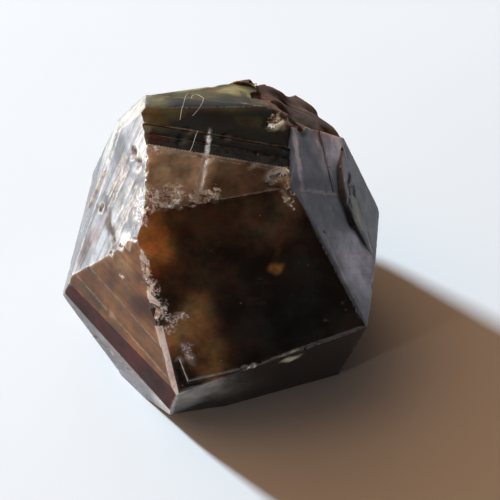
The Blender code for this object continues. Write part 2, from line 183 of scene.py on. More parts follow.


# Clouds, stains, bare spots, and painted glows, highlights and reflections: face, place and half sizes on it
# in mm, turn, colour, strength.
stains = [
    # amber zoning on the front's left side, brightened into a painted glow of light passing through it;
    # olive and rust lower down, and small bare chips
    ("front", (-5.2, 3.4), (6.2, 5.8), -35, (0.090, 0.044, 0.024), 0.80),
    ("front", (-6.4, 3.6), (3.6, 4.0), -30, (0.200, 0.072, 0.024), 0.80),
    ("front", (-6.4, 4.6), (2.6, 2.8), -15, (0.640, 0.270, 0.075), 0.85),
    ("front", (-1.8, 5.2), (3.8, 2.8), 0, (0.065, 0.030, 0.016), 0.80),
    ("front", (2.8, 5.4), (2.8, 2.8), 0, (0.130, 0.080, 0.048), 0.80),
    ("front", (-4.3, -3.6), (2.0, 2.8), -15, (0.420, 0.240, 0.105), 0.85),
    ("front", (-3.0, -5.9), (2.6, 1.9), 12, (0.300, 0.170, 0.075), 0.80),
    ("front", (-4.4, -4.9), (0.8, 0.9), 20, (0.230, 0.090, 0.060), 0.8),
    ("front", (4.0, -3.4), (4.6, 4.6), 30, (0.009, 0.012, 0.014), 0.85),
    ("front", (3.15, 0.72), (0.62, 0.48), 10, (0.60, 0.27, 0.075), 0.95),
    ("front", (3.45, 2.6), (0.35, 2.0), -12, (0.10, 0.06, 0.035), 0.6),
    ("front", (4.2, 7.0), (0.22, 1.2), 20, (0.45, 0.40, 0.34), 0.6),
    ("front", (-4.4, -5.6), (0.36, 1.1), 25, (0.95, 0.74, 0.72), 0.9),
    ("front", (0.76, -7.5), (0.45, 0.35), 0, (0.95, 0.92, 0.90), 0.9),
    ("front", (3.7, -6.85), (0.95, 0.35), 18, (0.80, 0.80, 0.58), 0.9),
    # the brow: a painted glow on its left, and a scratch and a chip painted bright as highlights; bare
    # bruises lie along its lower border
    ("brow", (-4.9, 4.6), (3.2, 3.6), 0, (0.560, 0.410, 0.260), 0.90),
    ("brow", (-2.6, 3.6), (2.0, 2.6), 0, (0.600, 0.430, 0.290), 0.80),
    ("brow", (-1.92, 3.75), (2.7, 0.28), 73, (1.0, 0.98, 1.0), 1.0),
    ("brow", (4.0, 3.4), (0.95, 0.60), 25, (0.97, 1.0, 0.90), 1.0),
    ("crown", (-2.7, 8.3), (2.2, 1.6), -55, (0.130, 0.085, 0.030), 0.95),
    ("crown", (-0.4, 7.0), (1.9, 1.1), -50, (0.060, 0.043, 0.018), 0.8),
    ("crown", (2.9, 3.9), (1.5, 0.8), -46, (0.038, 0.040, 0.016), 0.8),
    ("crown", (3.2, 1.5), (1.4, 0.8), -55, (0.042, 0.034, 0.020), 0.75),
    ("crown", (0.2, 4.6), (1.0, 0.6), -50, (0.003, 0.014, 0.020), 0.8),
    ("crown", (-0.6, 3.7), (2.9, 0.12), -56, (0.075, 0.085, 0.060), 0.8),
    ("crown", (1.2, 5.9), (4.4, 0.55), -46, (0.034, 0.030, 0.012), 0.75),
    ("crown", (-3.6, 6.1), (1.5, 0.45), -55, (0.055, 0.006, 0.001), 0.9),
    # the brow scratch's painted highlight runs on across the crown
    ("crown", (-1.03, 2.54), (1.25, 0.20), 36, (0.85, 0.82, 0.86), 0.95),
    ("crown", (4.6, 0.2), (0.95, 0.50), 20, (0.55, 0.45, 0.30), 0.9),
    ("rim", (2.6, 0.2), (7.0, 1.2), 34, (0.095, 0.076, 0.020), 0.9),
    ("rim", (6.0, 3.0), (1.5, 1.7), 0, (0.300, 0.255, 0.110), 0.85),
    ("rim", (-0.5, -1.4), (1.5, 1.1), 10, (0.330, 0.250, 0.090), 0.85),
    ("rim", (3.3, -0.85), (6.5, 0.35), 36, (0.160, 0.150, 0.070), 0.9),
    ("rim", (1.6, 2.7), (5.0, 1.2), 20, (0.008, 0.009, 0.005), 0.92),
    ("shoulder", (-2.6, 5.4), (1.6, 1.8), 0, (0.110, 0.045, 0.008), 0.7),
    ("farRight", (0.45, -1.3), (1.1, 1.0), 0, (0.36, 0.25, 0.11), 0.9),
    # painted sheen: pale lilac patches on the right face stand for reflections of the sky
    ("right", (4.8, 2.4), (2.6, 1.7), -35, (0.850, 0.780, 0.900), 0.9),
    ("right", (-1.8, -4.4), (3.0, 4.4), 30, (0.620, 0.620, 0.820), 0.85),
    ("right", (1.2, 6.1), (3.4, 0.40), 33, (0.85, 0.70, 0.74), 0.9),
    # a pale growth step across it with a duller band above
    ("right", (0.65, 2.85), (0.50, 2.4), 37, (0.085, 0.070, 0.120), 0.8),
    ("right", (0.35, 2.35), (0.13, 3.0), 37, (0.60, 0.56, 0.60), 0.9),
    ("right", (0.85, -3.25), (0.60, 2.7), -14, (0.003, 0.003, 0.003), 0.97),
    ("left", (-1.8, 3.0), (2.8, 1.3), -35, (0.380, 0.190, 0.080), 0.8),
    ("left", (3.4, 1.0), (1.5, 3.6), -60, (0.060, 0.008, 0.001), 0.92),
    ("left", (0.6, -1.6), (6.5, 0.9), -16, (0.120, 0.055, 0.022), 0.7),
    # snowy patches, maroon and dark bruises and the brown wedge of the upper left face
    ("upperLeft", (-1.6, 9.4), (1.8, 2.6), 0, (0.92, 0.93, 0.92), 0.9),
    ("upperLeft", (-2.0, 7.05), (0.45, 0.50), 20, (0.10, 0.035, 0.05), 0.9),
    ("upperLeft", (-1.4, 7.6), (0.45, 0.30), 20, (0.95, 0.95, 0.95), 0.85),
    ("upperLeft", (-0.6, 7.25), (1.1, 0.26), 25, (0.06, 0.045, 0.05), 0.9),
    ("upperLeft", (0.1, 6.7), (0.85, 0.45), 20, (0.98, 0.98, 0.98), 0.95),
    ("upperLeft", (2.0, 5.0), (0.9, 2.4), 35, (0.50, 0.47, 0.46), 0.8),
    ("upperLeft", (-1.68, 0.75), (0.40, 0.28), -60, (0.07, 0.04, 0.045), 0.9),
    ("upperLeft", (0.7, 1.1), (2.1, 0.62), -7, (0.070, 0.042, 0.030), 1.0),
    ("upperLeft", (3.2, 2.4), (0.8, 0.7), 20, (0.80, 0.77, 0.70), 0.9),
    ("upperLeft", (-0.6, -2.6), (3.4, 0.75), 85, (0.28, 0.19, 0.18), 0.7),
    ("flank", (-0.32, 2.65), (3.5, 0.12), 81, (0.90, 0.92, 0.93), 0.9),
    ("flank", (-2.9, 4.6), (2.2, 4.0), 0, (0.70, 0.71, 0.66), 0.95),
    # painted reflection of the lit paper on the lower left face
    ("underLeft", (6.2, -4.1), (2.8, 2.2), -13, (1.0, 1.0, 1.0), 1.0),
    ("farRight", (-1.0, -2.9), (0.50, 2.2), -30, (0.004, 0.004, 0.004), 0.95),
    ("foot", (1.9, 0.9), (0.95, 0.50), 6, (0.80, 0.80, 0.58), 0.9),
    # painted reflection of the lit paper on the foot's left part
    ("foot", (-5.6, -1.2), (5.6, 3.4), 0, (0.110, 0.110, 0.115), 0.6),
    ("foot", (-6.6, -1.2), (3.2, 3.0), 0, (0.420, 0.420, 0.410), 0.75),
]


# Bruised places, where fine breaks scatter the light and their flecks are partly painted glints: face,
# place, half sizes and turn as above, strength.
bruises = [
    ("front", (-7.15, 2.0), (0.45, 1.1), 10, 1.0),
    ("front", (-6.7, 0.3), (0.50, 1.1), 12, 1.0),
    ("front", (-6.1, -1.6), (0.60, 1.2), 20, 1.0),
    ("front", (-5.6, -3.2), (0.7, 0.5), 10, 0.6),
    ("front", (-5.0, -2.4), (1.1, 0.35), 8, 0.9),
    ("front", (-4.4, -5.4), (0.25, 0.9), 25, 0.8),
    ("front", (-7.0, 6.0), (0.5, 0.7), 0, 0.7),
    ("front", (4.6, 6.6), (0.5, 1.3), 20, 0.45),
    ("front", (0.6, -7.6), (0.5, 0.35), 0, 0.9),
    ("left", (1.7, 3.9), (0.9, 0.35), -55, 0.9),
    ("left", (3.1, 2.2), (1.1, 0.35), -60, 0.9),
    ("left", (-0.8, 1.7), (0.30, 0.18), 0, 0.8),
    ("brow", (-4.9, 2.3), (1.7, 1.0), 5, 1.3),
    ("brow", (-1.8, 2.3), (1.1, 0.9), 5, 1.1),
    ("brow", (-6.3, 1.6), (0.6, 0.4), 5, 0.8),
    ("brow", (-1.92, 3.75), (2.7, 0.20), 73, 1.0),
    ("brow", (-2.38, 2.19), (0.8, 0.24), 77, 1.4),
    ("brow", (-5.6, 6.6), (0.5, 1.0), 30, 0.6),
    ("brow", (5.0, 2.4), (0.35, 0.9), 30, 0.7),
    ("brow", (3.9, 3.3), (0.6, 0.4), 25, 0.7),
    ("crown", (-1.03, 2.54), (1.1, 0.16), 36, 0.8),
    ("crown", (4.4, 0.4), (0.9, 0.5), 20, 0.6),
    ("upperLeft", (3.4, 2.7), (0.9, 0.7), 30, 1.0),
    ("upperLeft", (2.6, 5.4), (0.7, 2.0), 35, 0.8),
]


surfaceSet = {
    "weld": 0.012 * mm,
    "flatAngle": 0.6,                                    # degrees; closer faces share one plane
    "stepNear": 0.150 * mm, "stepFar": 0.215 * mm,       # mesh spacing on the near and the far side
    "nearSide": (0, -0.643, 0.766), "nearLimit": 0.02,   # a face that leans this way is near
    "rowGap": 0.866, "borderGap": 0.62,                  # in steps: between rows, and from a border
    "skew": (0.31, 0.17, 0.93),                          # a direction that no plane faces
}


# Points and triangles of the CAD stone, with its loose triangles joined.
def weldedCopy(node):
    bm = bmesh.new()
    bm.from_mesh(node.data)
    bmesh.ops.remove_doubles(bm, verts=bm.verts, dist=surfaceSet["weld"])
    bmesh.ops.triangulate(bm, faces=bm.faces)
    bm.verts.index_update()
    points = np.array([v.co for v in bm.verts])
    triangles = np.array([[v.index for v in f.verts] for f in bm.faces])
    bm.free()
    return points, triangles


# Groups the triangles that lie in one plane, and lists the edges between the groups.
def flatRegions(points, triangles):
    a, b, c = (points[triangles[:, i]] for i in range(3))
    normals = np.cross(b - a, c - a)
    areas = np.linalg.norm(normals, axis=1)
    normals = normals / np.maximum(areas, 1e-20)[:, None]
    owners = {}
    for t, corners in enumerate(triangles):
        for i in range(3):
            owners.setdefault(tuple(sorted((corners[i], corners[(i + 1) % 3]))), []).append(t)
    group = list(range(len(triangles)))

    def root(t):
        while group[t] != t:
            group[t] = group[group[t]]
            t = group[t]
        return t
    flat = math.cos(math.radians(surfaceSet["flatAngle"]))
    for edge, (s, t) in owners.items():
        if normals[s] @ normals[t] > flat:
            group[root(s)] = root(t)
    regions = {}
    for t in range(len(triangles)):
        regions.setdefault(root(t), []).append(t)
    creases = {edge: (root(s), root(t)) for edge, (s, t) in owners.items() if root(s) != root(t)}
    return regions, creases, normals, areas


# Which flat spots lie in any of the flat triangles.
def insideTriangles(spots, corners):
    found = np.zeros(len(spots), bool)
    for tri in corners:
        low, high = tri.min(0) - 1e-9, tri.max(0) + 1e-9
        near = np.where(~found & (spots >= low).all(1) & (spots <= high).all(1))[0]
        if len(near) == 0:
            continue
        p = spots[near]
        side = [(tri[(i + 1) % 3][0] - tri[i][0]) * (p[:, 1] - tri[i][1])
                - (tri[(i + 1) % 3][1] - tri[i][1]) * (p[:, 0] - tri[i][0]) for i in range(3)]
        found[near[(np.min(side, axis=0) >= -1e-12) | (np.max(side, axis=0) <= 1e-12)]] = True
    return found


# Which triangles lie inside the border: each step over a border edge goes in or out.
def insideBorder(cells, edges, borderParts):
    odd = {tuple(sorted(edge)) for edge, parts in zip(edges, borderParts) if len(parts) % 2}
    beside = {}
    for k, (a, b, c) in enumerate(cells):
        for edge in ((a, b), (b, c), (c, a)):
            beside.setdefault(tuple(sorted(edge)), []).append(k)
    state = [None] * len(cells)
    queue = []
    for edge, sides in beside.items():
        if len(sides) == 1 and state[sides[0]] is None:
            state[sides[0]] = edge in odd
            queue.append(sides[0])
    while queue:
        k = queue.pop()
        a, b, c = cells[k]
        for edge in ((a, b), (b, c), (c, a)):
            edge = tuple(sorted(edge))
            for other in beside[edge]:
                if state[other] is None:
                    state[other] = state[k] ^ (edge in odd)
                    queue.append(other)
    return state


# Evenly spaced spots inside a flat outline, in rows and clear of its border.
def innerSpots(rim, corners, step):
    low, high = rim.min(0), rim.max(0)
    if (high - low).min() <= step:
        return np.zeros((0, 2))
    rows = []
    for r, y in enumerate(np.arange(low[1], high[1], step * surfaceSet["rowGap"])):
        across = np.arange(low[0] + (r % 2) * step / 2, high[0], step)
        rows.append(np.stack((across, np.full(len(across), y)), 1))
    spots = np.concatenate(rows)
    spots = spots[insideTriangles(spots, corners)]
    if len(spots) == 0:
        return spots
    border = KDTree(len(rim))
    for k, spot in enumerate(rim):
        border.insert((spot[0], spot[1], 0), k)
    border.balance()
    away = np.array([border.find((p[0], p[1], 0))[2] for p in spots])
    return spots[away > surfaceSet["borderGap"] * step]


# The stone's surface with an even, fine mesh that keeps every edge of the CAD solid.
def refinedStone(node):
    points, triangles = weldedCopy(node)
    regions, creases, normals, areas = flatRegions(points, triangles)
    planes, steps = {}, {}
    for key, members in regions.items():
        normal = (normals[members] * areas[members][:, None]).sum(0)
        normal /= np.linalg.norm(normal)
        level = np.cross(normal, surfaceSet["skew"])
        level /= np.linalg.norm(level)
        axes = np.stack((level, np.cross(normal, level)), axis=1)
        planes[key] = points[triangles[members]].mean((0, 1)), axes
        near = normal @ np.array(surfaceSet["nearSide"]) > surfaceSet["nearLimit"]
        steps[key] = surfaceSet["stepNear" if near else "stepFar"]
    allPoints = list(points)
    borders = {key: [] for key in regions}
    for (i, j), sides in creases.items():
        step = min(steps[s] for s in sides)
        parts = max(1, round(float(np.linalg.norm(points[i] - points[j])) / step))
        chain = [i]
        for k in range(1, parts):
            allPoints.append(points[i] + (points[j] - points[i]) * (k / parts))
            chain.append(len(allPoints) - 1)
        chain.append(j)
        for s in sides:
            borders[s] += list(zip(chain, chain[1:]))
    faces = []
    for key, members in regions.items():
        middle, axes = planes[key]
        ids = sorted({i for pair in borders[key] for i in pair})
        where = {i: k for k, i in enumerate(ids)}
        ends = [(where[i], where[j]) for i, j in borders[key]]
        rim = (np.array([allPoints[i] for i in ids]) - middle) @ axes * inMm
        corners = (points[triangles[members]] - middle) @ axes * inMm
        flat = np.concatenate((rim, innerSpots(rim, corners, steps[key] * inMm)))
        spots, edges, cells, sources, edgeParts = delaunay_2d_cdt(
            [Vector(p) for p in flat], ends, [], 0, 1e-7)[:5]
        spots = np.array([spot[:] for spot in spots])
        names = []
        for spot, source in zip(spots, sources):
            known = [q for q in source if q < len(ids)]
            if known:
                names.append(ids[known[0]])
            else:
                allPoints.append(middle + axes @ spot / inMm)
                names.append(len(allPoints) - 1)
        for cell, good in zip(cells, insideBorder(cells, edges, edgeParts)):
            if good:
                a, b, c = (spots[k] for k in cell)
                turned = (b[0] - a[0]) * (c[1] - a[1]) - (b[1] - a[1]) * (c[0] - a[0])
                i, j, k = (names[q] for q in cell)
                faces.append((i, j, k) if turned > 0 else (i, k, j))
    return np.array(allPoints), np.array(faces)


# How the faces are told apart and painted.
paintSet = {
    "leanCost": 4.5,                    # mm that a right angle from a face's own direction counts as
    "ragged": 0.22,                     # a spot's uneven border, in its smaller half size
    "fadeOut": 1.35,                    # where a spot has gone, in half sizes
    "breakFrom": 3, "breakOver": 6,     # degrees off its face from which stone looks broken, and how softly
    "dulling": 0.65,                    # roughness that a dark stain adds to pale stone
    "grainGap": 7.3,                    # keeps the growth lines of two faces apart
}


# The crystal face that each small triangle belongs to.
def facetOf(middles, normals):
    scores = []
    for name in facetNames:
        lean = 1 - normals @ facetPlane(name)[0]
        scores.append(np.abs(depthUnder(name, middles)) + paintSet["leanCost"] * lean)
    return np.argmin(scores, axis=0)


# Bends a face's coordinates in two crossed waves, so that a spot on it gets an uneven border.
def ragged(u, v, amount):
    reach = max(amount, 0.05) * 5
    a, b = u / reach, v / reach
    across = np.sin(1.7 * b + 0.9 * a + 0.5) + 0.5 * np.sin(3.1 * b - 2.3 * a + 1.9)
    up = np.sin(2.1 * a - 0.7 * b + 1.1) + 0.5 * np.sin(3.6 * a + 1.9 * b + 0.3)
    return u + across * amount, v + up * amount


# How far each place on a face is covered by a spot, from 0 to its strength.
def spotCover(u, v, at, size, turn, strength):
    u, v = ragged(u, v, paintSet["ragged"] * min(size))
    c, t = math.cos(math.radians(turn)), math.sin(math.radians(turn))
    x, y = u - at[0], v - at[1]
    reach = np.sqrt(((x * c + y * t) / size[0]) ** 2 + ((y * c - x * t) / size[1]) ** 2)
    soft = np.clip(paintSet["fadeOut"] - reach, 0, 1)
    return soft * soft * (3 - 2 * soft) * strength


def addLayer(mesh, name, kind, domain, values):
    layer = mesh.attributes.new(name, kind, domain)
    field = {"FLOAT_COLOR": "color", "FLOAT_VECTOR": "vector", "FLOAT": "value"}[kind]
    layer.data.foreach_set(field, np.ascontiguousarray(values, dtype=np.float32).ravel())


# Rounded edges: the two faces, the reach along the edge in mm, and how far the rounding runs from it.
roundedEdges = [
    ("front", "brow", (-2.5, 8.0), 2.0),
    ("front", "foot", (0.0, 12.0), 0.35),
    ("front", "right", (-2.0, 9.0), 0.40),
    ("brow", "crown", (-9.0, 9.0), 0.6),
    ("crown", "rim", (-9.0, 9.0), 0.8),
]
edgeFade = 1.5   # mm over which a rounding runs out at its ends

# The broken shoulder's bowls lie between the faces around it; all in mm.
rippleSet = {
    "around": ("crown", "rim", "right", "farRight"),
    "deepest": 0.9, "softness": 0.3,   # how far under the shoulder the bowls still run
    "clear": 0.35,                     # how softly they end at the faces around
}

# The crown's ledges are partly filled, away from the edges of the crown; lengths in mm.
ledgeSet = {
    "around": ("brow", "rim", "right", "shoulder", "upperLeft"),
    "fill": 0.62,                      # share of a ledge's depth
    "deepest": 0.75,                   # lower places are left alone
    "clear": 0.8,
}


# How far each point takes part in a rounded edge.
def edgeRounding(local):
    rounding = np.zeros(len(local))
    for a, b, (start, end), width in roundedEdges:
        (na, da), (nb, db) = facetPlane(a), facetPlane(b)
        run = np.cross(na, nb)
        run /= np.linalg.norm(run)
        run *= 1 if run[0] > 0 else -1
        foot = np.linalg.solve(np.array((na, nb, run)), np.array((da, db, 0)))
        along = local @ run
        off = np.linalg.norm(local - foot - along[:, None] * run, axis=1)
        fade = np.clip((along - start) / edgeFade, 0, 1) * np.clip((end - along) / edgeFade, 0, 1)
        near = np.clip(1 - off / width, 0, 1)
        opening = math.sqrt((1 - na @ nb) / (1 + na @ nb))
        rounding = np.maximum(rounding, fade * near * near * width * opening / 2)
    return rounding


# How far each point takes part in the rippled break of the shoulder.
def shoulderRipple(local):
    v = rippleSet
    clear = np.min([depthUnder(name, local) for name in v["around"]], axis=0)
    shallow = np.clip((v["deepest"] - depthUnder("shoulder", local)) / v["softness"], 0, 1)
    return shallow * np.clip(clear / v["clear"], 0, 1)


def softenedLedges(local):
    v = ledgeSet
    depth = depthUnder("crown", local)
    clear = np.min([depthUnder(name, local) for name in v["around"]], axis=0)
    share = np.clip(clear / v["clear"], 0, 1) * (depth < v["deepest"]) * v["fill"]
    return local + (depth * share)[:, None] * facetPlane("crown")[0]


# The stone with layers for its colour, growth lines, finish, paleness, bruises, rounded edges and ripples.
def makeStone():
    points, faces = refinedStone(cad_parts["garnet_crystal"])
    local = softenedLedges((points - np.array(growthCentre)) * inMm)
    mesh = bpy.data.meshes.new("garnetCrystal")
    mesh.from_pydata(local * mm + np.array(growthCentre), [], faces.tolist())
    mesh.update()
    corners = local[faces]
    normals = np.cross(corners[:, 1] - corners[:, 0], corners[:, 2] - corners[:, 0])
    normals /= np.maximum(np.linalg.norm(normals, axis=1), 1e-12)[:, None]
    owner = facetOf(corners.mean(1), normals)
    tone = np.ones((len(faces), 3, 4))
    grain, finish = np.zeros((len(faces), 3, 3)), np.zeros((len(faces), 3, 3))
    pale, bruised = np.zeros((len(faces), 3)), np.zeros((len(faces), 3))
    for k, name in enumerate(facetNames):
        mine = owner == k
        body, rough, run, lines, breaksPale = facets[name][1:]
        level, slope, normal = facetAxes(name)
        u, v = corners[mine] @ level, corners[mine] @ slope
        colour = np.broadcast_to(np.array(body), (*u.shape, 3)).copy()
        for facet, at, size, turn, stain, strength in stains:
            if facet == name:
                part = spotCover(u, v, at, size, turn, strength)[..., None]
                colour = colour * (1 - part) + np.array(stain) * part
        bare = np.zeros(u.shape)
        for facet, at, size, turn, strength in bruises:
            if facet == name:
                bare = np.maximum(bare, spotCover(u, v, at, size, turn, strength))
        c, t = math.cos(math.radians(run)), math.sin(math.radians(run))
        apart = np.full(u.shape, paintSet["grainGap"] * k)
        leaning = np.degrees(np.arccos(np.clip(normals[mine] @ normal, -1, 1)))
        broken = np.clip((leaning - paintSet["breakFrom"]) / paintSet["breakOver"], 0, 1)
        # a dark stain on pale stone is dull, and the stone under it doesn't break white
        stained = 1 - np.clip(colour.mean(-1) / np.mean(body), 0, 1)
        tone[mine, :, :3] = colour
        bruised[mine] = bare
        grain[mine] = np.stack((u * c + v * t, v * c - u * t, apart), -1)
        finish[mine, :, 0] = rough + paintSet["dulling"] * stained * breaksPale
        finish[mine, :, 1] = broken[:, None]
        finish[mine, :, 2] = lines
        pale[mine] = breaksPale * (1 - stained)
    for name, kind, domain, values in (
            ("tone", "FLOAT_COLOR", "CORNER", tone), ("grain", "FLOAT_VECTOR", "CORNER", grain),
            ("finish", "FLOAT_VECTOR", "CORNER", finish), ("pale", "FLOAT", "CORNER", pale),
            ("bruised", "FLOAT", "CORNER", bruised), ("rounding", "FLOAT", "POINT", edgeRounding(local)),
            ("rippled", "FLOAT", "POINT", shoulderRipple(local))):
        addLayer(mesh, name, kind, domain, values)
    stone = bpy.data.objects.new("garnetCrystal", mesh)
    scene.collection.objects.link(stone)
    return stone


reliefSet = {
    "Crease Angle": 0.28,
    "Wear Width": 0.22 * mm, "Wear Depth": 0.045 * mm, "Wear Scale": 900.0,
    "Line Width": 0.16, "Line Depth": 0.014 * mm,
    "Wave Scale": 330.0, "Wave Depth": 0.012 * mm,
    "Pit Density": 1.1e5, "Pit Size": 0.30 * mm, "Pit Depth": 0.035 * mm, "Pit Scale": 700.0,
    "Chip Share": 0.014, "Chip Size": 0.36 * mm, "Chip Depth": 0.07 * mm, "Chip Scale": 420.0,
    "Bowl Width": 1.9 * mm, "Bowl Depth": 0.75 * mm,
    "Clear Height": 0.02 * mm, "Full Height": 0.5 * mm,   # the relief fades out towards the floor
    "Seed": 4,
}
lineStretch = (0.22, 1.0, 1.0)      # draws the growth lines out along their run
bowlStretch = (0.75, 0.62, 1.5)     # makes the shoulder's bowls wider than they are high


def addSockets(tree, direction, **sockets):
    for name, kind in sockets.items():
        tree.interface.new_socket(name, in_out=direction, socket_type="NodeSocket" + kind)


# Ends a tree with real geometry in its material.
def endTree(tree, geometry, material):
    real = addNode(tree, "GeometryNodeRealizeInstances", {"Geometry": geometry}).outputs[0]
    done = addNode(tree, "GeometryNodeSetMaterial", {"Geometry": real, "Material": material}).outputs[0]
    addNode(tree, "NodeGroupOutput", {0: done})


# Lowers the surface at its edges, along its growth lines, in scattered pits and nicks, and in the bowls.
def reliefTree(name, values):
    tree = bpy.data.node_groups.new(name, "GeometryNodeTree")
    addSockets(tree, "INPUT", Geometry="Geometry", Material="Material")
    for key, value in values.items():
        kind = "NodeSocketInt" if isinstance(value, int) else "NodeSocketFloat"
        tree.interface.new_socket(key, in_out="INPUT", socket_type=kind).default_value = value
    addSockets(tree, "OUTPUT", Geometry="Geometry")
    given = tree.nodes.new("NodeGroupInput").outputs
    position = addNode(tree, "GeometryNodeInputPosition").outputs[0]
    normal = addNode(tree, "GeometryNodeInputNormal").outputs[0]

    def layer(name, kind="FLOAT"):
        return addNode(tree, "GeometryNodeInputNamedAttribute", {"Name": name}, data_type=kind).outputs[0]

    def distanceTo(geometry, element):
        near = addNode(tree, "GeometryNodeProximity", {"Geometry": geometry}, target_element=element)
        return near.outputs["Distance"]

    # wear, strongest on the creases and patchy along them
    angle = addNode(tree, "GeometryNodeInputMeshEdgeAngle").outputs["Unsigned Angle"]
    isCrease = addNode(tree, "FunctionNodeCompare", {0: angle, 1: given["Crease Angle"]},
                       data_type="FLOAT", operation="GREATER_THAN").outputs[0]
    creases = addNode(tree, "GeometryNodeSeparateGeometry",
                      {"Geometry": given["Geometry"], "Selection": isCrease}, domain="EDGE").outputs[0]
    patchy = mapRange(tree, noiseNode(tree, position, given["Wear Scale"], 3.0), 0.38, 0.66, (0.10, 1.35))
    width = multiply(tree, given["Wear Width"], patchy)
    wear = mapRange(tree, mathNode(tree, "DIVIDE", distanceTo(creases, "EDGES"), width), 1.0, 0.0)

    # nicks along the creases
    draw = {"Probability": given["Chip Share"], "Seed": given["Seed"]}
    chosen = addNode(tree, "FunctionNodeRandomValue", draw, data_type="BOOLEAN").outputs[3]
    nickSpots = addNode(tree, "GeometryNodeMeshToPoints", {"Mesh": creases, "Selection": chosen}).outputs[0]
    varied = mapRange(tree, noiseNode(tree, position, given["Chip Scale"], 1.0), 0.35, 0.65, (0.45, 1.5))
    nickSize = multiply(tree, given["Chip Size"], varied)
    nickReach = mathNode(tree, "DIVIDE", distanceTo(nickSpots, "POINTS"), nickSize)
    nick = mathNode(tree, "SUBTRACT", 1.0, multiply(tree, nickReach, nickReach), clamp=True)

    # pits scattered over the faces
    spread = {"Mesh": given["Geometry"], "Density": given["Pit Density"], "Seed": given["Seed"]}
    pitSpots = addNode(tree, "GeometryNodeDistributePointsOnFaces", spread).outputs[0]
    varied = mapRange(tree, noiseNode(tree, position, given["Pit Scale"], 1.0), 0.35, 0.7, (0.2, 1.2))
    pitSize = multiply(tree, given["Pit Size"], varied)
    pit = mapRange(tree, mathNode(tree, "DIVIDE", distanceTo(pitSpots, "POINTS"), pitSize), 1.0, 0.0)

    # growth lines and slow waves
    perLine = mathNode(tree, "DIVIDE", 1.0, given["Line Width"])
    stretched = scaleAxes(tree, layer("grain", "FLOAT_VECTOR"), lineStretch)
    lines = noiseNode(tree, stretched, multiply(tree, perLine, 0.5), 3.0, 0.6)
    lineShare = addNode(tree, "ShaderNodeSeparateXYZ", {0: layer("finish", "FLOAT_VECTOR")}).outputs[2]
    waves = noiseNode(tree, position, given["Wave Scale"])

    # bowls of the broken shoulder
    bowls = addNode(tree, "ShaderNodeTexVoronoi",
                    {"Vector": scaleAxes(tree, position, bowlStretch),
                     "Scale": mathNode(tree, "DIVIDE", 1.0, given["Bowl Width"])}, feature="SMOOTH_F1")
    bowl = multiply(tree, mapRange(tree, bowls.outputs["Distance"], 0.75, 0.0), layer("rippled"))

    depth = multiply(tree, wear, given["Wear Depth"])
    for mask, amount in ((layer("rounding"), mm), (bowl, given["Bowl Depth"]), (nick, given["Chip Depth"]),
                         (pit, given["Pit Depth"]), (waves, given["Wave Depth"]),
                         (multiply(tree, lines, lineShare), given["Line Depth"])):
        depth = mathNode(tree, "ADD", depth, multiply(tree, mask, amount))
    height = addNode(tree, "ShaderNodeSeparateXYZ", {0: position}).outputs[2]
    depth = multiply(tree, depth, mapRange(tree, height, given["Clear Height"], given["Full Height"]))
    inward = addNode(tree, "ShaderNodeVectorMath", {0: normal, "Scale": multiply(tree, depth, -1.0)},
                     operation="SCALE").outputs[0]
    stored = given["Geometry"]
    for key, value in (("wear", wear), ("nick", nick)):
        stored = addNode(tree, "GeometryNodeStoreNamedAttribute",
                         {"Geometry": stored, "Name": key, "Value": value},
                         data_type="FLOAT", domain="POINT").outputs[0]
    moved = addNode(tree, "GeometryNodeSetPosition", {"Geometry": stored, "Offset": inward}).outputs[0]
    endTree(tree, moved, given["Material"])
    return tree


# Runs a node tree on an object and gives back the result as a plain mesh.
def runTree(thing, tree, values, material):
    modifier = thing.modifiers.new(tree.name, "NODES")
    modifier.node_group = tree
    sockets = {item.name: item.identifier for item in tree.interface.items_tree if item.in_out == "INPUT"}
    for key, value in {**values, "Material": material}.items():
        modifier[sockets[key]] = value
    graph = bpy.context.evaluated_depsgraph_get()
    result = thing.evaluated_get(graph)
    mesh = bpy.data.meshes.new_from_object(result, preserve_all_data_layers=True, depsgraph=graph)
    thing.modifiers.remove(modifier)
    return mesh


stoneFinish = {
    "ior": 1.78, "shine": 0.24, "clear": 0.22,
    "scatter": 0.45, "reach": (1.0, 0.42, 0.16), "depth": 1.5 * mm,
    "absorb": (0.72, 0.44, 0.10, 1), "density": 900.0,
    "cloudScale": 330.0, "cloudContrast": 0.60,
    # red and green casts of the dark faces, weaker where growth lines are strong
    "mottleScale": 700.0, "redCast": (1.24, 0.93, 0.84, 1), "greenCast": (0.78, 1.07, 0.98, 1),
    "mottleOffLines": 0.85,
    "lineTone": (0.36, 0.30, 0.32, 1), "lineDark": 0.8, "lineStretch": (0.10, 3.2, 1.0),
    # bare stone: its grit, and flecks in the bruises, partly pale broken stone and partly painted glints
    "gritScale": 1900.0, "flakeScale": 2600.0, "flakeSpread": 0.20, "paintedGlintScale": 5200.0,
    "bareTone": (1.0, 0.93, 0.88, 1), "bareRough": 0.25,
    "speckScale": 1300.0, "dustShare": 0.5, "dustTone": (0.50, 0.45, 0.40, 1),
    "smudgeScale": 900.0, "smudgeRough": (-0.03, 0.09),
    "bump": 0.35, "bumpDepth": 0.03 * mm, "lumpScale": 2600.0,
    "lineBump": 0.15, "lumpBump": 0.25, "bareBump": 11.0,
}


